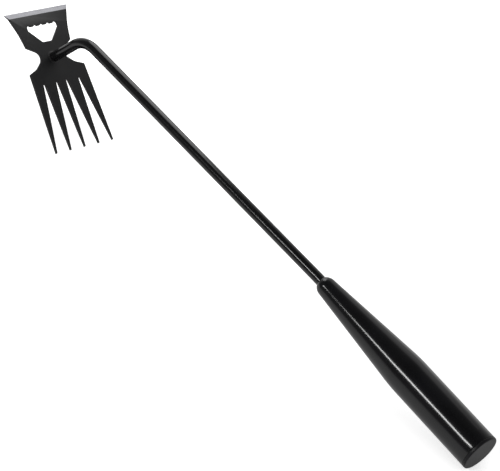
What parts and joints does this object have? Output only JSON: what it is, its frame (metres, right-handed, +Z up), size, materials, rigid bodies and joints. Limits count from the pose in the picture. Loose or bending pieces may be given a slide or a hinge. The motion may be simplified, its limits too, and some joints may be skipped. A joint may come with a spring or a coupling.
{
  "type": "stand up weeder",
  "caption": "Hand weeder: a flat steel head with a hoe blade and a tined fork, on a bent round shank with a tapered moulded grip.",
  "frame": {"origin": "centre of the tool's footprint on the ground, with the tool resting on its tine tips and the rim of its grip", "axes": "+X along the tool from the head to the grip, +Y across the head, +Z up from the ground"},
  "size_m": [0.4938, 0.0614, 0.0821],
  "materials": {
    "head_coating": "satin black coating, with a bare ground bevel on the cutting edge",
    "weld_coating": "black paint over a rippled weld",
    "shank_coating": "gloss black paint on round bar",
    "grip_plastic": "glossy black moulded plastic",
    "washer_steel": "plain spring steel",
    "cap_plastic": "black moulded plastic"
  },
  "bodies": {
    "root": {"head_plate": "head_coating", "foot_weld": "weld_coating", "shank": "shank_coating", "grip_sleeve": "grip_plastic", "tang_washer": "washer_steel", "grip_end_cap": "cap_plastic"}
  },
  "joints": []
}
